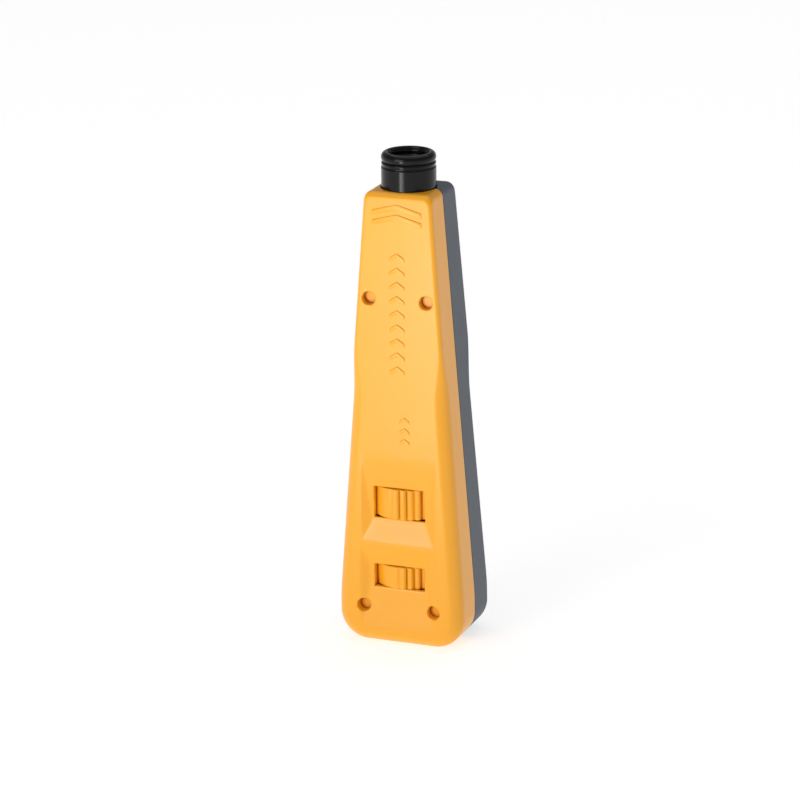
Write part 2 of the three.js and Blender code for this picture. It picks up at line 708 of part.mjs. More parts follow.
function springSeat() {
  const seat = turned([
    [0, SEAT_BOTTOM],
    [7.6, SEAT_BOTTOM],
    [7.6, SEAT_TOP],
    [SPIGOT_RADIUS, SEAT_TOP],
    [SPIGOT_RADIUS, SEAT_TOP + 2.2],
    [SPIGOT_RADIUS - 0.6, SEAT_TOP + 2.8],
    [0, SEAT_TOP + 2.8],
  ]);
  const arms = [[-10.2, -6.8], [6.8, 10.2]].map((x) =>
    block(x, [-SEAT_ARM_HALF, SEAT_ARM_HALF], [SEAT_ARM_BOTTOM, SEAT_TOP + 1.3]));
  return joined([seat, ...arms]);
}

/** A bent strip behind a dial, whose crown rides on the dial's flange. */
function detentSpring(flangeBottom, back) {
  const bottom = flangeBottom - 1;
  const crown = DIAL_FLANGE + 0.15;
  const thickness = 0.4;
  const line = [[-6.6, back], [-2.6, back], [-0.9, crown], [0.9, crown], [2.6, back], [6.6, back]];
  const strip = new THREE.Shape();
  line.forEach(([x, y], i) => (i === 0 ? strip.moveTo(x, y) : strip.lineTo(x, y)));
  line.reverse().forEach(([x, y]) => strip.lineTo(x, y + thickness));
  return raised(strip, bottom, bottom + DETENT_HEIGHT);
}

// ---------- spare blade store ----------

function spareBladeTube() {
  const foot = LOCK_TOP + 0.4;
  return turned([
    [0, TUBE_TOP - 1.2],
    [TUBE_BORE, TUBE_TOP - 1.2],
    [TUBE_BORE, foot],
    [TUBE_RADIUS, foot],
    [TUBE_RADIUS, 26],
    [8.5, 26],
    [8.5, 27.6],
    [TUBE_RADIUS, 27.6],
    [TUBE_RADIUS, TUBE_TOP],
    [0, TUBE_TOP],
  ]);
}

function storageMouth() {
  return turned([
    [TUBE_BORE + 0.7, 0.3],
    [MOUTH_RADIUS, 0.3],
    [MOUTH_RADIUS, WALL + GAP],
    [8.4, WALL + GAP],
    [8.4, WALL + GAP + 1.6],
    [MOUTH_RADIUS, WALL + GAP + 1.6],
    [MOUTH_RADIUS, LOCK_BOTTOM - 0.4],
    [TUBE_BORE, LOCK_BOTTOM - 0.4],
    [TUBE_BORE, 1.1],
    [TUBE_BORE + 0.7, 0.3],
  ]);
}

// ---------- screws ----------

/** A pan head screw along +Z, with the head's underside at z = 0. */
function screw() {
  const recessHalfWidth = 0.32;
  const recessReach = 1.6;
  const body = turned([
    [0, -SCREW_LENGTH],
    [SCREW_SHANK - 0.5, -SCREW_LENGTH],
    [SCREW_SHANK, 0.8 - SCREW_LENGTH],
    [SCREW_SHANK, 0],
    [SCREW_HEAD, 0],
    [SCREW_HEAD, 0.9],
    [SCREW_HEAD * 0.82, 1.6],
    [SCREW_HEAD * 0.45, SCREW_HEAD_HEIGHT],
    [0, SCREW_HEAD_HEIGHT],
  ], 16);
  const [across, reach] = [recessHalfWidth, recessReach].map((half) => [-half, half]);
  const depth = [0.8, 3];
  return cut(body, [block(reach, across, depth), block(across, reach, depth)]);
}

// ---------- assembly ----------

function bodyGroup(name, ...pieces) {
  const group = new THREE.Group();
  group.name = name;
  group.add(...pieces);
  return group;
}

const selector = part('force_selector', forceSelector(), YELLOW);
selector.position.z = SELECTOR_BOTTOM;

const lock = part('lock_dial', lockDial(), YELLOW);
lock.position.z = LOCK_BOTTOM;

const latchSpring = part(
  'latch_spring',
  coil({ radius: 0.85, wire: 0.2, bottom: 0, top: 2.7, turns: 3, stepsPerTurn: 10 }),
  SPRING_STEEL,
);
latchSpring.rotation.y = Math.PI / 2;
latchSpring.position.set(-6.1, 0, LATCH_BOTTOM + LATCH_THICKNESS / 2);

const screws = SCREW_PLACES.map(({ name, x, z }) => {
  const mesh = part(name, screw(), STEEL);
  mesh.rotation.x = -Math.PI / 2;
  mesh.position.set(x, screwSeat(z) + 0.02, z);
  return mesh;
});

const tool = new THREE.Group();
tool.add(
  bodyGroup(
    'housing',
    part('front_shell', frontShell(), YELLOW),
    part('rear_shell', rearShell(), SLATE),
    part('guide_plate', guidePlate(), STEEL),
    part('hammer_bumper', ring(STEM_RADIUS + 0.4, 6.8, HAMMER_TOP + GAP, GUIDE_PLATE_BOTTOM - 0.2), RUBBER),
    part('trip_ramp', tripRamp(), STEEL),
    part('selector_detent_spring', detentSpring(SELECTOR_FLANGE, 10.35), SPRING_STEEL),
    part('lock_detent_spring', detentSpring(LOCK_FLANGE, 10.8), SPRING_STEEL),
    part('spare_blade_tube', spareBladeTube(), NATURAL),
    part('storage_mouth', storageMouth(), BLACK),
    part(
      'main_spring',
      coil({ radius: 5.3, wire: 0.85, bottom: SEAT_TOP, top: HAMMER_BOTTOM, turns: 4.5 }),
      SPRING_STEEL,
    ),
    part('plunger_return_spring', returnCoil(), SPRING_STEEL),
    ...screws,
  ),
  bodyGroup(
    'plunger',
    part('blade_socket', bladeSocket(), BLACK),
    part('socket_liner', socketLiner(), STEEL),
    part('socket_retaining_ring', socketRetainingRing(), STEEL),
    part('plunger_stem', plungerStem(), STEEL),
    part(
      'blade_preload_spring',
      coil({ radius: 3.8, wire: 0.45, bottom: STEM_HEAD_TOP, top: BLADE_SEAT_BOTTOM, turns: 3 }),
      SPRING_STEEL,
    ),
    part('blade_seat', bladeSeat(), BLACK),
  ),
  bodyGroup(
    'striker',
    part('hammer', hammer(), STEEL),
    latchSpring,
    part('latch_plate', latchPlate(), STEEL),
  ),
  bodyGroup('force_setting', part('spring_seat', springSeat(), STEEL), selector),
  bodyGroup('blade_store', lock),
);

export default tool;
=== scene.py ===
"""Looks of an impact punch down tool: two moulded shells, a black nose, two ribbed dials and the works.

Lengths are millimetres up to the point where a mesh is made, and MM turns them into metres.
"""
import math

import bmesh
import bpy
import numpy as np
from mathutils import Matrix, Vector


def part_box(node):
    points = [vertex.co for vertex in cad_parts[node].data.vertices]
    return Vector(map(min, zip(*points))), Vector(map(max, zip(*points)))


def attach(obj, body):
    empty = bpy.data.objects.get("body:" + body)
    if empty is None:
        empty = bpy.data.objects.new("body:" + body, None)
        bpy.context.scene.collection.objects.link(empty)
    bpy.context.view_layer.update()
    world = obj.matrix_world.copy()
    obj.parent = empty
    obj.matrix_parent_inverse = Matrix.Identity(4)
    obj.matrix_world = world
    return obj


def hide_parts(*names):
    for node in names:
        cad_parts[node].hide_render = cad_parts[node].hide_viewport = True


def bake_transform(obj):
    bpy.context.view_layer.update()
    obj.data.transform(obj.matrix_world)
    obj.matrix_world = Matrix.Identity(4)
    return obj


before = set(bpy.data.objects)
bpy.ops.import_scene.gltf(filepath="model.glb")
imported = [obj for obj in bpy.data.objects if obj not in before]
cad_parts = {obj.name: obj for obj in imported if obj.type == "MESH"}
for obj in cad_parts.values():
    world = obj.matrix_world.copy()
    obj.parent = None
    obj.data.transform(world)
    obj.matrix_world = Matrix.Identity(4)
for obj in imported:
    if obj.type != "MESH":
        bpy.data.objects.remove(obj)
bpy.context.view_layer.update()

MM = 0.001


# ---------- sizes read from the frame ----------

def box_mm(node):
    low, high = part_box(node)
    return np.array(low) / MM, np.array(high) / MM


front_high = box_mm("front_shell")[1]
nose_low = box_mm("blade_socket")[0]
selector_low = box_mm("force_selector")[0]
lock_high = box_mm("lock_dial")[1]

BODY_LENGTH = front_high[2]
BUTT_HALF_WIDTH = front_high[0]
PARTING = -front_high[1]  # from the middle plane to the front shell's edge

# ---------- sizes of the moulding ----------

TAPER_FROM = 14.6  # height above which the sides lean in
TAPER = 0.0748  # how far each side comes in for each millimetre up
BUTT_CORNER = 9
SHOULDER_CORNER = 2.4
FRONT_DEPTH = 13.5  # from the middle plane to the front face, at the butt
REAR_DEPTH = 14.3
FACE_SLOPE = 0.026
EDGE_WIDE = 4  # size of the long edges below the waist
EDGE_NARROW = 1.2  # and above it
EDGE_TOP_EXTRA = 0.7  # added round the shoulder
EDGE_SHRINK = 0.586  # how much a long edge shrinks for each millimetre of inset
WAIST_LOW = 74
WAIST_HIGH = 92
PARTING_BREAK = 0.18  # broken edge along the parting line
NOSE_BORE = 8.3
MOUTH_BORE = 6.9
WINDOW_HALF = 7.9
WINDOWS = [(38.8, 48.6), (17.5, 24.5)]
WINDOW_LIP = 0.35
SCREWS = [(-8.85, 105.6), (8.85, 105.6), (-11, 11.55), (11, 11.55)]
DIMPLE_RADIUS = 2.05
DIMPLE_DEPTH = 2.25
SCOOPED_BY = 0.9  # how much lower the face lies round the two lower dimples
DIMPLE_LIP = 0.3
SCREW_WELL = 3.0
SCREW_SINK = 2.6
SKIN = 0.8  # thickness of the finely modelled outside
SKIN_OVERLAP = 0.12  # how far the inside reaches into it
OUTSIDE = 25  # beyond every face, for cutters that come in from there


# ---------- small helpers ----------

def smoothstep(x, low, high):
    t = np.clip((x - low) / (high - low), 0, 1)
    return t * t * (3 - 2 * t)


def soft_ramp(x, softness):
    """Zero below 0 and x above it, with a rounded corner."""
    return 0.5 * (x + np.sqrt(x * x + softness * softness))


def soft_min(a, b, softness):
    return a - soft_ramp(a - b, softness)


def lip(distance, radius):
    """How far a rounded edge has fallen at a distance outside the hole's wall."""
    d = np.clip(distance, 0, radius)
    return radius - np.sqrt(radius * radius - (radius - d) ** 2)


def new_object(name, vertices, faces):
    """A mesh object from millimetre vertices, with its faces turned outwards."""
    mesh = bpy.data.meshes.new(name)
    mesh.from_pydata((np.asarray(vertices, float) * MM).tolist(), [], faces)
    work = bmesh.new()
    work.from_mesh(mesh)
    bmesh.ops.remove_doubles(work, verts=work.verts, dist=1e-7)
    bmesh.ops.recalc_face_normals(work, faces=work.faces)
    work.to_mesh(mesh)
    work.free()
    thing = bpy.data.objects.new(name, mesh)
    bpy.context.scene.collection.objects.link(thing)
    return thing


def apply_modifiers(thing):
    bpy.context.view_layer.update()
    graph = bpy.context.evaluated_depsgraph_get()
    mesh = bpy.data.meshes.new_from_object(thing.evaluated_get(graph))
    thing.modifiers.clear()
    old = thing.data
    thing.data = mesh
    mesh.name = thing.name
    bpy.data.meshes.remove(old)
    return thing


def combine(body, tool, operation):
    """Joins or cuts two closed meshes, and uses the tool up."""
    modifier = body.modifiers.new("combine", "BOOLEAN")
    modifier.operation = operation
    modifier.solver = "MANIFOLD"
    modifier.object = tool
    apply_modifiers(body)
    bpy.data.objects.remove(tool)
    return body


def cut(body, tools):
    for tool in tools:
        combine(body, tool, "DIFFERENCE")
    return body


def join(body, tools):
    for tool in tools:
        combine(body, tool, "UNION")
    return body


def rounded_edges(thing, width, segments=3, angle=30):
    """Rounds the sharp edges of a small piece."""
    modifier = thing.modifiers.new("edges", "BEVEL")
    modifier.width = width * MM
    modifier.segments = segments
    modifier.limit_method = "ANGLE"
    modifier.angle_limit = math.radians(angle)
    return apply_modifiers(thing)


def smooth(thing, angle=32):
    for polygon in thing.data.polygons:
        polygon.use_smooth = True
    thing.data.set_sharp_from_angle(angle=math.radians(angle))
    return thing


def cad_copy(node, name):
    """A CAD node's mesh as a new, joined-up object."""
    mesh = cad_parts[node].data.copy()
    mesh.materials.clear()
    work = bmesh.new()
    work.from_mesh(mesh)
    bmesh.ops.remove_doubles(work, verts=work.verts, dist=1e-6)
    work.to_mesh(mesh)
    work.free()
    thing = bpy.data.objects.new(name, mesh)
    bpy.context.scene.collection.objects.link(thing)
    return thing


# ---------- basic shapes ----------

def turned(name, profile, segments=96):
    """Turned about Z. The profile of (radius, height) points starts and ends on the axis or on itself."""
    closed = profile[0] == profile[-1]
    points = profile[:-1] if closed else profile
    vertices = []
    for i in range(segments):
        c, s = math.cos(2 * math.pi * i / segments), math.sin(2 * math.pi * i / segments)
        vertices += [(r * c, r * s, z) for r, z in points]
    count = len(points)
    faces = []
    for i in range(segments):
        near, far = i * count, ((i + 1) % segments) * count
        for j in range(count if closed else count - 1):
            k = (j + 1) % count
            quad = [near + j, far + j, far + k, near + k]
            if points[j][0] == 0:
                quad = [near + j, far + k, near + k]
            elif points[k][0] == 0:
                quad = [near + j, far + j, near + k]
            faces.append(quad)
    return new_object(name, vertices, faces)


def arc(centre_r, centre_z, radius, start, end, steps=8):
    """Points of an arc in a turned profile, with angles in degrees from the outward direction."""
    angles = [math.radians(start + (end - start) * i / steps) for i in range(steps + 1)]
    return [(centre_r + radius * math.cos(a), centre_z + radius * math.sin(a)) for a in angles]


def block(name, x, y, z):
    corners = [(a, b, c) for a in x for b in y for c in z]
    faces = [(0, 1, 3, 2), (4, 6, 7, 5), (0, 4, 5, 1), (2, 3, 7, 6), (0, 2, 6, 4), (1, 5, 7, 3)]
    return new_object(name, corners, faces)


def cross_pin(name, x, z, radius, y, segments=64):
    """A round bar that runs front to back."""
    angles = [2 * math.pi * i / segments for i in range(segments)]
    vertices = [(x + radius * math.cos(a), depth, z + radius * math.sin(a)) for depth in y for a in angles]
    faces = [tuple(range(segments)), tuple(range(segments, 2 * segments))]
    for i in range(segments):
        k = (i + 1) % segments
        faces.append((i, k, k + segments, i + segments))
    return new_object(name, vertices, faces)


def prism(name, outline, bottom, top):
    """An outline in the XY plane, raised from bottom to top."""
    count = len(outline)
    vertices = [(x, y, z) for z in (bottom, top) for x, y in outline]
    faces = [tuple(range(count)), tuple(range(count, 2 * count))]
    for i in range(count):
        k = (i + 1) % count
        faces.append((i, k, k + count, i + count))
    return new_object(name, vertices, faces)


def coil(name, radius, wire, bottom, top, turns, sides=12, steps_per_turn=40, along="z", origin=(0, 0, 0)):
    """A coil spring of round wire with an even pitch and capped ends."""
    steps = int(turns * steps_per_turn)
    vertices = []
    for i in range(steps + 1):
        t = i / steps
        angle = 2 * math.pi * turns * t
        height = bottom + wire + (top - bottom - 2 * wire) * t
        for j in range(sides):
            a = 2 * math.pi * j / sides
            r = radius + wire * math.cos(a)
            z = height + wire * math.sin(a)
            point = (r * math.cos(angle), r * math.sin(angle), z)
            if along == "x":
                point = (point[2], point[1], -point[0])
            vertices.append(tuple(p + o for p, o in zip(point, origin)))
    faces = [tuple(range(sides)), tuple(range(steps * sides, (steps + 1) * sides))]
    for i in range(steps):
        for j in range(sides):
            k = (j + 1) % sides
            faces.append((i * sides + j, i * sides + k, (i + 1) * sides + k, (i + 1) * sides + j))
    return new_object(name, vertices, faces)


# ---------- the housing's form ----------

def half_width(z):
    return BUTT_HALF_WIDTH - TAPER * soft_ramp(z - TAPER_FROM, 1.5)


def edge_size(z):
    side = EDGE_WIDE + (EDGE_NARROW - EDGE_WIDE) * smoothstep(z, WAIST_LOW, WAIST_HIGH)
    return side + EDGE_TOP_EXTRA * smoothstep(z, BODY_LENGTH - 3.5, BODY_LENGTH - 0.5)


def right_outline(inset, spacing):
    """The right half of the outline, from the butt's flat to the shoulder, as x, z and the outward normal."""
    rows = []
    centre = BUTT_HALF_WIDTH - BUTT_CORNER
    corner_steps = max(6, int(BUTT_CORNER * 1.5 / spacing / 1.6))
    for i in range(corner_steps + 1):
        a = -math.pi / 2 + math.pi / 2 * i / corner_steps
        radius = BUTT_CORNER - inset
        c, s = math.cos(a), math.sin(a)
        rows.append((centre + radius * c, BUTT_CORNER + radius * s, c, s))
    top_centre = BODY_LENGTH - SHOULDER_CORNER
    side_steps = int((top_centre - BUTT_CORNER) / spacing)
    lean = math.atan(TAPER)
    for i in range(1, side_steps):
        z = BUTT_CORNER + (top_centre - BUTT_CORNER) * i / side_steps
        slope = lean * smoothstep(z, TAPER_FROM - 3, TAPER_FROM + 3)
        rows.append((half_width(z) - inset, z, math.cos(slope), math.sin(slope)))
    corner = half_width(top_centre) - SHOULDER_CORNER
    for i in range(7):
        a = lean + (math.pi / 2 - lean) * i / 6
        radius = SHOULDER_CORNER - inset
        c, s = math.cos(a), math.sin(a)
        rows.append((corner + radius * c, top_centre + radius * s, c, s))
    return np.array(rows)


def edge_profile(steps):
    """How far in and how far down each line across a long edge lies.

    The edge is round at the side and ends in a soft crease at the face.
    """
    along = np.linspace(0, 1, 401)
    angle = np.radians((90 - 50 * along) * (1 - smoothstep(along, 0.84, 1)))
    middle = (angle[1:] + angle[:-1]) / 2
    inwards = np.concatenate([[0], np.cumsum(np.cos(middle))])
    drop = np.concatenate([[0], np.cumsum(np.sin(middle))])
    places = np.sin(np.pi / 2 * np.arange(steps + 1) / steps)
    inwards = np.interp(places, along, inwards / inwards[-1])
    drop = 1 - np.interp(places, along, drop / drop[-1])
    return list(zip(inwards, drop))


def half_form(name, side, depth_at, relief, inset=0.0, start=None, spacing=0.28, columns=120, edge_steps=16):
    """Half a housing: walls from the parting plane, broken long edges and a face with the given relief."""
    right = right_outline(inset, spacing)
    left = right[::-1] * np.array([-1, 1, -1, 1])
    across = np.linspace(1, -1, columns)[1:-1]
    rows, wide = len(right), len(across)
    straight = np.zeros(wide)
    top = np.column_stack([right[-1, 0] * across, straight + right[-1, 1], straight, straight + 1])
    bottom = np.column_stack([-right[0, 0] * across, straight + right[0, 1], straight, straight - 1])
    loop = np.vstack([right, top, left, bottom])
    x, z, nx, nz = loop.T
    size = np.maximum(edge_size(z) - EDGE_SHRINK * inset, 0.3)
    wall = depth_at(z) - inset - size
    rings = []
    if start is None:
        foot = PARTING + PARTING_BREAK
        rings.append((x - nx * PARTING_BREAK, np.full_like(z, PARTING), z - nz * PARTING_BREAK))
        rings.append((x, np.full_like(z, foot), z))
        rings += [(x, foot + (wall - foot) * t, z) for t in (0.3, 0.6, 0.9)]
    else:
        rings.append((x, np.full_like(z, start), z))
    for inwards, drop in edge_profile(edge_steps):
        deep_z = z - nz * inwards * size
        rings.append((x - nx * inwards * size, depth_at(deep_z) - inset - drop * size, deep_z))
    vertices = [np.column_stack([rx, side * ry, rz]) for rx, ry, rz in rings]
    count = len(loop)
    faces = []
    for r in range(len(rings) - 1):
        for i in range(count):
            k = (i + 1) % count
            faces.append((r * count + i, r * count + k, (r + 1) * count + k, (r + 1) * count + i))

    def rim(row, column):
        """A point of the loop by its place in the face's grid."""
        if column == 0:
            return row
        if column == wide + 1:
            return rows + wide + rows - 1 - row
        return rows + column - 1 if row else 2 * (rows + wide) - column

    faces.append((1, rim(1, wide + 1), *[rim(0, c) for c in range(wide + 1, -1, -1)]))
    faces.append((rows - 2, *[rim(rows - 1, c) for c in range(wide + 2)], rim(rows - 2, wide + 1)))
    for row in range(1, rows - 2):
        faces.append((row, row + 1, rim(row + 1, wide + 1), rim(row, wide + 1)))
    last = (len(rings) - 1) * count
    edge_x, _, edge_z = rings[-1]
    half, height = edge_x[1:rows - 1, None], edge_z[1:rows - 1, None]
    grid_x = half * across[None, :]
    grid_z = height + 0 * grid_x
    fade = smoothstep(half - np.abs(grid_x), 0, 0.5)
    fade = fade * smoothstep(np.minimum(grid_z - edge_z[0], edge_z[rows - 1] - grid_z), 0, 0.5)
    grid_y = depth_at(grid_z) - inset - fade * relief(grid_x, grid_z)
    vertices.append(np.column_stack([grid_x.ravel(), side * grid_y.ravel(), grid_z.ravel()]))

    def at(row, column):
        if column in (0, wide + 1) or row in (0, rows - 1):
            return last + rim(row, column)
        return last + count + (row - 1) * wide + column - 1

    for row in range(rows - 1):
        for column in range(wide + 1):
            faces.append((at(row, column), at(row, column + 1), at(row + 1, column + 1), at(row + 1, column)))
    return new_object(name, np.vstack(vertices), faces)


def front_depth(z):
    return FRONT_DEPTH - FACE_SLOPE * z


def rear_depth(z):
    return REAR_DEPTH - FACE_SLOPE * z


# ---------- relief of the front face ----------

UPPER_SCOOP = {"top": 58.1, "valley": 38.2, "foot": 31.9, "depth": 1.8, "half": 11.6, "valley_half": 8.5}
LOWER_SCOOP = {
    "rows": [(4.5, 0), (10, 0.8), (19, 1.6), (24.6, 1.45), (30.2, 0)],
    "half": 12, "floor_half": 9, "depth": 1.6,
}


def scoop_relief(x, z):
    upper = UPPER_SCOOP
    incline = (upper["top"] - z) * upper["depth"] / (upper["top"] - upper["valley"])
    ramp = (z - upper["foot"]) * upper["depth"] / (upper["valley"] - upper["foot"])
    cheek = (upper["half"] - np.abs(x)) * upper["depth"] / (upper["half"] - upper["valley_half"])
    pan = soft_ramp(soft_min(soft_min(incline, ramp, 0.25), cheek, 0.35), 0.12)
    lower = LOWER_SCOOP
    heights, depths = zip(*lower["rows"])
    slopes = np.diff(depths) / np.diff(heights)
    floor = np.full_like(z, 1e3)
    for (h, d), slope in zip(lower["rows"], slopes):
        floor = soft_min(floor, d + slope * (z - h), 0.3)
    cheek = (lower["half"] - np.abs(x)) * lower["depth"] / (lower["half"] - lower["floor_half"])
    dish = soft_ramp(soft_min(floor, cheek, 0.35), 0.12)
    return pan + dish


def window_lips(x, z):
    fall = 0
    for low, high in WINDOWS:
        dx = np.abs(x) - WINDOW_HALF
        dz = np.maximum(low - z, z - high)
        outside = np.where((dx > 0) & (dz > 0), np.hypot(dx, dz), np.maximum(dx, dz))
        fall = fall + lip(outside, WINDOW_LIP)
    return fall


def hole_lips(x, z, radius, size):
    return sum(lip(np.hypot(x - sx, z - sz) - radius, size) for sx, sz in SCREWS)


def front_relief(x, z):
    return scoop_relief(x, z) + window_lips(x, z) + hole_lips(x, z, DIMPLE_RADIUS, DIMPLE_LIP)


# ---------- relief of the rear face ----------

GRIP_FIRST = 58
GRIP_PITCH = 4.4
GRIP_COUNT = 8
GRIP_WIDTH = 1.6
GRIP_DEPTH = 0.65
GRIP_HALF = 8.5


def rear_relief(x, z):
    depth = hole_lips(x, z, SCREW_WELL, DIMPLE_LIP)
    for i in range(GRIP_COUNT):
        middle = GRIP_FIRST + i * GRIP_PITCH + GRIP_WIDTH / 2
        along = np.maximum(np.abs(x) - (GRIP_HALF - GRIP_WIDTH / 2), 0)
        distance = np.hypot(along, z - middle)
        depth = depth + GRIP_DEPTH * (1 - smoothstep(distance, 0.35, GRIP_WIDTH / 2 + 0.2))
    return depth


def skinned_shell(node, name, side, depth_at, relief):
    """The CAD shell's inside under a finely modelled skin."""
    skin = half_form(name, side, depth_at, relief)
    coarse = {"start": -1, "spacing": 0.8, "columns": 50, "edge_steps": 4}
    core = half_form("core", side, depth_at, relief, SKIN, **coarse)
    combine(skin, core, "DIFFERENCE")
    inside = cad_copy(node, "inside")
    limit = half_form("limit", side, depth_at, relief, SKIN - SKIN_OVERLAP, **coarse)
    combine(inside, limit, "INTERSECT")
    combine(skin, inside, "UNION")
    return skin


def bore(name, radius, low, high):
    return turned(name, [(0, low), (radius, low), (radius, high), (0, high)], 128)


def common_cuts():
    """The nose's hole in the shoulder and the storage mouth's in the butt."""
    return [bore("nose_hole", NOSE_BORE, 119, 140), bore("mouth_hole", MOUTH_BORE, -1, 3)]


# ---------- raised marks on the front ----------

def face_mark(outline, height=0.3, sunk=0.6):
    """A raised mark: an outline of (x, z) points that stands proud of the front face, with bevelled edges."""
    count = len(outline)
    vertices = [(x, -(front_depth(z) - sunk), z) for x, z in outline]
    vertices += [(x, -(front_depth(z) + height), z) for x, z in outline]
    faces = [tuple(range(count)), tuple(range(count, 2 * count))]
    for i in range(count):
        k = (i + 1) % count
        faces.append((i, k, k + count, i + count))
    return rounded_edges(new_object("mark", vertices, faces), 0.14, 2, 40)


def chevron(centre_x, z, half, rise, thickness):
    return [
        (centre_x - half, z), (centre_x, z + rise), (centre_x + half, z),
        (centre_x + half, z + thickness), (centre_x, z + rise + thickness), (centre_x - half, z + thickness),
    ]


def face_marks():
    """Chevrons that point at the nose: two broad ones under the shoulder, a column, and a short one below."""
    outlines = [chevron(0, 127.6 + 2.9 * i, 7.6, 2, 1.4) for i in range(2)]
    outlines += [chevron(0, 83.5 + 4.2 * i, 2.3, 1.5, 1.0) for i in range(9)]
    outlines += [chevron(2.2, 62.5 + 3.2 * i, 1.5, 1.0, 0.8) for i in range(3)]
    return [face_mark(outline) for outline in outlines]


def front_shell():
    shell = skinned_shell("front_shell", "front_shell_skin", -1, front_depth, front_relief)
    join(shell, face_marks())
    cuts = common_cuts()
    for low, high in WINDOWS:
        cuts.append(block("window", (-WINDOW_HALF, WINDOW_HALF), (-OUTSIDE, -5), (low, high)))
    for x, z in SCREWS:
        floor = DIMPLE_DEPTH - front_depth(z) + (SCOOPED_BY if z < UPPER_SCOOP["foot"] else 0)
        cuts.append(cross_pin("dimple", x, z, DIMPLE_RADIUS, (-OUTSIDE, floor)))
    cut(shell, cuts)
    return smooth(shell)


def rear_shell():
    shell = skinned_shell("rear_shell", "rear_shell_skin", 1, rear_depth, rear_relief)
    cuts = common_cuts()
    for x, z in SCREWS:
        seat = rear_depth(z) - SCREW_SINK
        cuts.append(cross_pin("well", x, z, SCREW_WELL, (seat, 20)))
    cut(shell, cuts)
    return smooth(shell)


# ---------- nose ----------

def oval(radius, height, wide, tall, first, last, count):
    """Points of an oval round (radius, height), from the first angle to the last, in degrees."""
    angles = np.radians(np.linspace(first, last, count))
    return [(radius + wide * math.cos(a), height + tall * math.sin(a)) for a in angles]


def nose():
    """A straight sleeve with a bead and a barrel-shaped collar at its mouth, and two guide lugs."""
    foot = nose_low[2]
    collar = oval(6.6, 145.95, 1.4, 1.55, -50, 90, 28)
    bead = oval(7.5, 144.2, 0.45, 0.5, -65, 65, 14)
    profile = [(7, foot + 0.2), (7.2, foot), (7.8, foot), (8, foot + 0.2), (8, 142.9)]
    profile += [*arc(7.8, 142.95, 0.2, 0, 80, 5), (7.72, 143.3), (7.68, 143.6), *bead, (7.64, 144.74)]
    profile += [*collar, *arc(6.45, 147, 0.5, 90, 180, 8), (5.7, 146.7), (5.55, 146.4)]
    profile += [(5.55, 145.9), (7, 145.6), (7, foot + 0.2)]
    sleeve = turned("nose", profile, 160)
    for x in (-8.9, 7.4):
        lug = block("lug", (x, x + 1.5), (-2.5, 2.5), (foot, 121))
        combine(sleeve, rounded_edges(lug, 0.25), "UNION")
    notch = block("notch", (-0.9, 0.9), (-6.4, -5), (146.4, 148))
    combine(sleeve, notch, "DIFFERENCE")
    return smooth(sleeve, 40)


def liner():
    piece = cad_copy("socket_liner", "liner")
    return smooth(rounded_edges(piece, 0.15, 2, 40), 40)


# ---------- dials ----------

FACING_WINDOW = -90  # degrees about Z
SECTOR = (-133, -7)
DIAL_RADIUS = 12
DIAL_NECK = 7.8  # where the sector ends inside the hub
ROOM = (8.6, 13)  # radii of the space that the sector goes into
ROOM_GAP = 0.6  # degrees left beside the sector
SILL_GAP = 0.03  # between the lower window's sill and its dial
SELECTOR_GROOVES = [(-10.5, 0.3), (0.9, 0.8), (12.3, 0.8), (23.7, 0.6), (35.1, 0.8)]
LOCK_GROOVES = [(0, 0.4), (11, 0.8), (22, 0.8), (33, 0.8), (44, 0.4)]


def dial_sector(bottom, top, grooves, groove_half=4.6, edge=0.3):
    """The broad part of a dial that fills its window. Grooves are (angle from the window's middle, depth)."""
    steps = 420
    angles = [SECTOR[0] + (SECTOR[1] - SECTOR[0]) * i / steps for i in range(steps + 1)]
    inner_angles = angles[::-12]

    def rim(angle):
        fall = [depth * (1 - abs(angle - FACING_WINDOW - a) / groove_half) ** 1.6
                for a, depth in grooves if abs(angle - FACING_WINDOW - a) < groove_half]
        return DIAL_RADIUS - max(fall, default=0)

    turns = np.linspace(0, math.pi / 2, 5)
    layers = [(bottom + edge - edge * math.cos(a), edge - edge * math.sin(a)) for a in turns]
    layers += [(top - z + bottom, shrink) for z, shrink in layers[::-1]]
    vertices = []
    for z, shrink in layers:
        for angle in angles:
            a = math.radians(angle)
            r = rim(angle) - shrink
            vertices.append((r * math.cos(a), r * math.sin(a), z))
        for angle in inner_angles:
            a = math.radians(angle)
            vertices.append((DIAL_NECK * math.cos(a), DIAL_NECK * math.sin(a), z))
    count = len(angles) + len(inner_angles)
    faces = [tuple(range(count)), tuple(range((len(layers) - 1) * count, len(layers) * count))]
    for r in range(len(layers) - 1):
        for i in range(count):
            k = (i + 1) % count
            faces.append((r * count + i, r * count + k, (r + 1) * count + k, (r + 1) * count + i))
    return new_object("sector", vertices, faces)


def dial(node, name, bottom, top, grooves):
    """A dial's hub from the frame, with a finely grooved sector in place of the faceted one."""
    piece = cad_copy(node, name)
    wide = SECTOR[1] - SECTOR[0] + 2 * ROOM_GAP
    angles = [math.radians(SECTOR[0] - ROOM_GAP + wide * i / 40) for i in range(41)]
    ring = [(ROOM[1] * math.cos(a), ROOM[1] * math.sin(a)) for a in angles]
    ring += [(ROOM[0] * math.cos(a), ROOM[0] * math.sin(a)) for a in angles[::-1]]
    combine(piece, prism("room", ring, bottom - 0.5, top + 0.001), "DIFFERENCE")
    combine(piece, dial_sector(bottom, top, grooves), "UNION")
    return smooth(piece, 35)
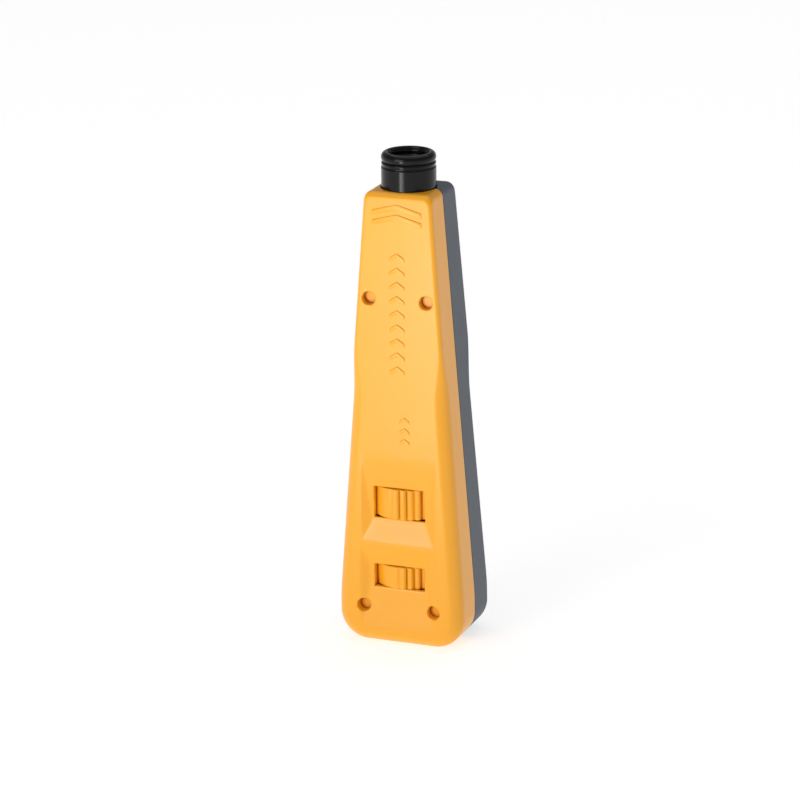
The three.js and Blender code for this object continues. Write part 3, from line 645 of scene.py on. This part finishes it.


# ---------- coil springs -------------------------

def springs():
    main = coil("main_coil", 5.3, 0.85, 54.2, 72, 4.5)
    back = coil("return_coil", 4.7, 0.5, 99, 118.6, 7)
    preload = coil("preload_coil", 3.8, 0.45, 125.4, 131, 3)
    small = coil("latch_coil", 0.85, 0.2, 0, 2.7, 3, along="x", origin=(-6.1, 0, 90.7))
    return main, back, preload, small


# ---------- materials ----------

def principled(name):
    material = bpy.data.materials.new(name)
    material.use_nodes = True
    nodes, links = material.node_tree.nodes, material.node_tree.links
    shader = nodes["Principled BSDF"]
    return material, nodes, links, shader


def object_noise(nodes, links, scale, detail=3.0, roughness=0.5, stretch=(1, 1, 1)):
    coordinates = nodes.new("ShaderNodeTexCoord")
    mapping = nodes.new("ShaderNodeMapping")
    mapping.inputs["Scale"].default_value = stretch
    noise = nodes.new("ShaderNodeTexNoise")
    noise.inputs["Scale"].default_value = scale
    noise.inputs["Detail"].default_value = detail
    noise.inputs["Roughness"].default_value = roughness
    links.new(coordinates.outputs["Object"], mapping.inputs["Vector"])
    links.new(mapping.outputs["Vector"], noise.inputs["Vector"])
    return noise


def ramp(nodes, links, source, stops):
    node = nodes.new("ShaderNodeValToRGB")
    elements = node.color_ramp.elements
    while len(elements) < len(stops):
        elements.new(0.5)
    for element, (position, colour) in zip(elements, stops):
        element.position = position
        element.color = (*colour, 1)
    links.new(source, node.inputs["Fac"])
    return node


def bump(nodes, links, source, shader, distance, strength):
    node = nodes.new("ShaderNodeBump")
    node.inputs["Distance"].default_value = distance * MM
    node.inputs["Strength"].default_value = strength
    links.new(source, node.inputs["Height"])
    links.new(node.outputs["Normal"], shader.inputs["Normal"])


def moulded_plastic(name, colour, worn, rough, texture_size, texture_depth, shine=0.5):
    """Moulded plastic with a fine grain, faint flow marks, lighter rubbed edges, and painted shade that
    darkens its corners and recesses.
    """
    material, nodes, links, shader = principled(name)
    flow = object_noise(nodes, links, 28, 4, 0.55)
    shade = ramp(nodes, links, flow.outputs["Fac"], [
        (0.3, tuple(c * 0.955 for c in colour)), (0.7, colour),
    ])
    edge = nodes.new("ShaderNodeAmbientOcclusion")
    edge.only_local = True
    edge.inside = True
    edge.inputs["Distance"].default_value = 0.7 * MM
    rubbed = nodes.new("ShaderNodeMapRange")
    rubbed.inputs["From Min"].default_value = 0.9
    rubbed.inputs["From Max"].default_value = 0.45
    rubbed.inputs["To Max"].default_value = 0.4
    links.new(edge.outputs["AO"], rubbed.inputs["Value"])
    mix = nodes.new("ShaderNodeMix")
    mix.data_type = "RGBA"
    mix.inputs["B"].default_value = (*worn, 1)
    links.new(rubbed.outputs["Result"], mix.inputs["Factor"])
    links.new(shade.outputs["Color"], mix.inputs["A"])
    # Painted shade: ambient occlusion darkens corners, recesses, gaps and dimple walls towards dark brown,
    # standing in for the shade that falls there.
    corner = nodes.new("ShaderNodeAmbientOcclusion")
    corner.only_local = True
    corner.inputs["Distance"].default_value = 1.8 * MM
    painted_shade = ramp(nodes, links, corner.outputs["AO"], [(0.3, (0.16, 0.07, 0.04)), (0.7, (1, 1, 1))])
    shaded_colour = nodes.new("ShaderNodeMix")
    shaded_colour.data_type = "RGBA"
    shaded_colour.blend_type = "MULTIPLY"
    shaded_colour.inputs["Factor"].default_value = 1
    links.new(mix.outputs["Result"], shaded_colour.inputs["A"])
    links.new(painted_shade.outputs["Color"], shaded_colour.inputs["B"])
    links.new(shaded_colour.outputs["Result"], shader.inputs["Base Color"])
    smear = object_noise(nodes, links, 90, 5, 0.6)
    gloss = nodes.new("ShaderNodeMapRange")
    gloss.inputs["To Min"].default_value = rough - 0.05
    gloss.inputs["To Max"].default_value = rough + 0.07
    links.new(smear.outputs["Fac"], gloss.inputs["Value"])
    links.new(gloss.outputs["Result"], shader.inputs["Roughness"])
    grain = object_noise(nodes, links, 1 / (texture_size * MM), 2, 0.5)
    bump(nodes, links, grain.outputs["Fac"], shader, texture_depth, 1)
    shader.inputs["IOR"].default_value = 1.5
    shader.inputs["Specular IOR Level"].default_value = shine
    return material


def metal(name, colour, rough, stretch, depth=0.01):
    """Machined or drawn steel with fine marks in one direction."""
    material, nodes, links, shader = principled(name)
    marks = object_noise(nodes, links, 900, 4, 0.6, stretch)
    tone = ramp(nodes, links, marks.outputs["Fac"], [(0.25, tuple(c * 0.75 for c in colour)), (0.75, colour)])
    links.new(tone.outputs["Color"], shader.inputs["Base Color"])
    gloss = nodes.new("ShaderNodeMapRange")
    gloss.inputs["To Min"].default_value = rough - 0.08
    gloss.inputs["To Max"].default_value = rough + 0.12
    links.new(marks.outputs["Fac"], gloss.inputs["Value"])
    links.new(gloss.outputs["Result"], shader.inputs["Roughness"])
    bump(nodes, links, marks.outputs["Fac"], shader, depth, 0.6)
    shader.inputs["Metallic"].default_value = 1
    return material


YELLOW = moulded_plastic("yellow_plastic", (0.93, 0.4, 0.012), (0.98, 0.5, 0.06), 0.3, 0.35, 0.01)
DIAL_YELLOW = moulded_plastic("dial_plastic", (0.93, 0.4, 0.012), (0.98, 0.52, 0.08), 0.34, 0.3, 0.008)
SLATE = moulded_plastic("slate_plastic", (0.092, 0.105, 0.128), (0.2, 0.22, 0.24), 0.55, 0.28, 0.03)
BLACK = moulded_plastic(
    "black_plastic", (0.004, 0.0038, 0.0038), (0.012, 0.011, 0.011), 0.17, 0.4, 0.002, shine=0.22,
)
NATURAL = moulded_plastic("natural_plastic", (0.62, 0.57, 0.45), (0.7, 0.66, 0.55), 0.5, 0.3, 0.01)
RUBBER = moulded_plastic("black_rubber", (0.012, 0.012, 0.012), (0.03, 0.03, 0.03), 0.8, 0.2, 0.03)
STEEL = metal("turned_steel", (0.6, 0.61, 0.63), 0.32, (1, 1, 12))
BURNISHED = metal("burnished_steel", (0.06, 0.06, 0.062), 0.35, (1, 1, 12))
WIRE = metal("spring_wire", (0.42, 0.43, 0.46), 0.3, (1, 1, 1))
ZINC = metal("zinc_plate", (0.55, 0.56, 0.58), 0.34, (1, 1, 1))


# ---------- putting the pieces on ----------

def finish_piece(thing, material, body, nodes):
    """Gives a piece its material, hangs it on the named body if there is one, and hides the frame's nodes
    that it stands in for.
    """
    thing.data.materials.clear()
    thing.data.materials.append(material)
    if body:
        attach(thing, body)
    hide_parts(*nodes)


def place_pieces():
    finish_piece(front_shell(), YELLOW, "housing", ["front_shell"])
    finish_piece(rear_shell(), SLATE, "housing", ["rear_shell"])
    finish_piece(nose(), BLACK, "plunger", ["blade_socket"])
    finish_piece(liner(), BURNISHED, "plunger", ["socket_liner"])
    selector = dial("force_selector", "selector_dial", selector_low[2], 48.3, SELECTOR_GROOVES)
    finish_piece(selector, DIAL_YELLOW, "selector", ["force_selector"])
    lock = dial("lock_dial", "storage_dial", WINDOWS[1][0] + SILL_GAP, lock_high[2], LOCK_GROOVES)
    finish_piece(lock, DIAL_YELLOW, "lock", ["lock_dial"])
    main, back, preload, small = springs()
    finish_piece(smooth(main, 50), WIRE, None, ["main_spring"])
    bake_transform(main)
    finish_piece(smooth(back, 50), WIRE, None, ["plunger_return_spring"])
    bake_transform(back)
    finish_piece(smooth(preload, 50), WIRE, None, ["blade_preload_spring"])
    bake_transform(preload)
    finish_piece(smooth(small, 50), WIRE, None, ["latch_spring"])
    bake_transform(small)


CARRIED_OVER = {
    "guide_plate": STEEL, "hammer_bumper": RUBBER, "trip_ramp": STEEL,
    "selector_detent_spring": WIRE, "lock_detent_spring": WIRE,
    "spare_blade_tube": NATURAL, "storage_mouth": BLACK,
    "screw_upper_left": ZINC, "screw_upper_right": ZINC, "screw_lower_left": ZINC, "screw_lower_right": ZINC,
    "socket_retaining_ring": STEEL, "plunger_stem": STEEL, "blade_seat": BLACK,
    "hammer": STEEL, "latch_plate": STEEL, "spring_seat": STEEL,
}


def dress_carried_over():
    for node, material in CARRIED_OVER.items():
        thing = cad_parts[node]
        for place in thing.material_slots:
            place.material = material
        weld = thing.modifiers.new("weld", "WELD")
        weld.merge_threshold = 1e-6
        bevel = thing.modifiers.new("edges", "BEVEL")
        bevel.width = 0.15 * MM
        bevel.segments = 2
        bevel.limit_method = "ANGLE"
        bevel.angle_limit = math.radians(35)


# ---------- camera, floor and light ----------

def make_camera():
    azimuth, elevation, roll = math.radians(21.26), math.radians(17.39), math.radians(-0.71)
    level = math.cos(elevation)
    back = Vector((math.sin(azimuth) * level, -math.cos(azimuth) * level, math.sin(elevation)))
    right = Vector((math.cos(azimuth), math.sin(azimuth), 0))
    up = back.cross(right)
    image_right = math.cos(roll) * right + math.sin(roll) * up
    image_up = -math.sin(roll) * right + math.cos(roll) * up
    target = Vector((0, 0, 0.0725))
    distance = 1.009
    camera = bpy.data.objects.new("camera", bpy.data.cameras.new("camera"))
    bpy.context.scene.collection.objects.link(camera)
    turn = Matrix((image_right, image_up, back)).transposed().to_4x4()
    camera.matrix_world = Matrix.Translation(target + distance * back) @ turn
    camera.data.sensor_width = 36
    camera.data.lens = 154.57
    camera.data.shift_x = -0.0145
    bpy.context.scene.camera = camera


def softbox(name, place, size, radiance, target=(0, 0, 0.07)):
    """A soft rectangular light in metres. Radiance 1 looks as bright as white paper in full light."""
    light = bpy.data.lights.new(name, "AREA")
    light.shape = "RECTANGLE"
    light.size, light.size_y = size
    light.energy = radiance * math.pi * size[0] * size[1]
    thing = bpy.data.objects.new(name, light)
    thing.location = place
    thing.visible_camera = False
    thing.rotation_mode = "QUATERNION"
    thing.rotation_quaternion = (Vector(target) - Vector(place)).to_track_quat("-Z", "Y")
    bpy.context.scene.collection.objects.link(thing)


def make_studio():
    reach = 6
    corners = [(-reach, -reach, 0), (reach, -reach, 0), (reach, reach, 0), (-reach, reach, 0)]
    mesh = bpy.data.meshes.new("floor")
    mesh.from_pydata(corners, [], [(0, 1, 2, 3)])
    floor = bpy.data.objects.new("floor", mesh)
    bpy.context.scene.collection.objects.link(floor)
    material, _, _, shader = principled("floor_paint")
    shader.inputs["Base Color"].default_value = (0.6, 0.6, 0.6, 1)
    shader.inputs["Roughness"].default_value = 0.9
    shader.inputs["Emission Color"].default_value = (1, 1, 1, 1)
    shader.inputs["Emission Strength"].default_value = 0.66
    mesh.materials.append(material)
    world = bpy.data.worlds.new("studio")
    world.use_nodes = True
    nodes, links = world.node_tree.nodes, world.node_tree.links
    direction = nodes.new("ShaderNodeTexCoord")
    height = nodes.new("ShaderNodeSeparateXYZ")
    links.new(direction.outputs["Generated"], height.inputs["Vector"])
    sky = ramp(nodes, links, height.outputs["Z"], [(0.05, (0.65, 0.65, 0.65)), (0.3, (0.24, 0.24, 0.24))])
    links.new(sky.outputs["Color"], nodes["Background"].inputs["Color"])
    bpy.context.scene.world = world
    softbox("ceiling", (0, 0.5, 2.4), (3.2, 3.2), 0.75)
    softbox("key", (-0.42, -1.12, 0.4), (0.75, 0.76), 2.7)
    softbox("low_strip", (-0.045, -0.47, 0.006), (0.055, 0.6), 7.0, target=(-0.045, -0.47, 1))
    softbox("nose_card", (-0.055, -0.243, 0.066), (0.032, 0.05), 14.0, target=(0, 0, 0.142))
    bpy.context.scene.view_settings.view_transform = "Standard"


place_pieces()
dress_carried_over()
make_camera()
make_studio()
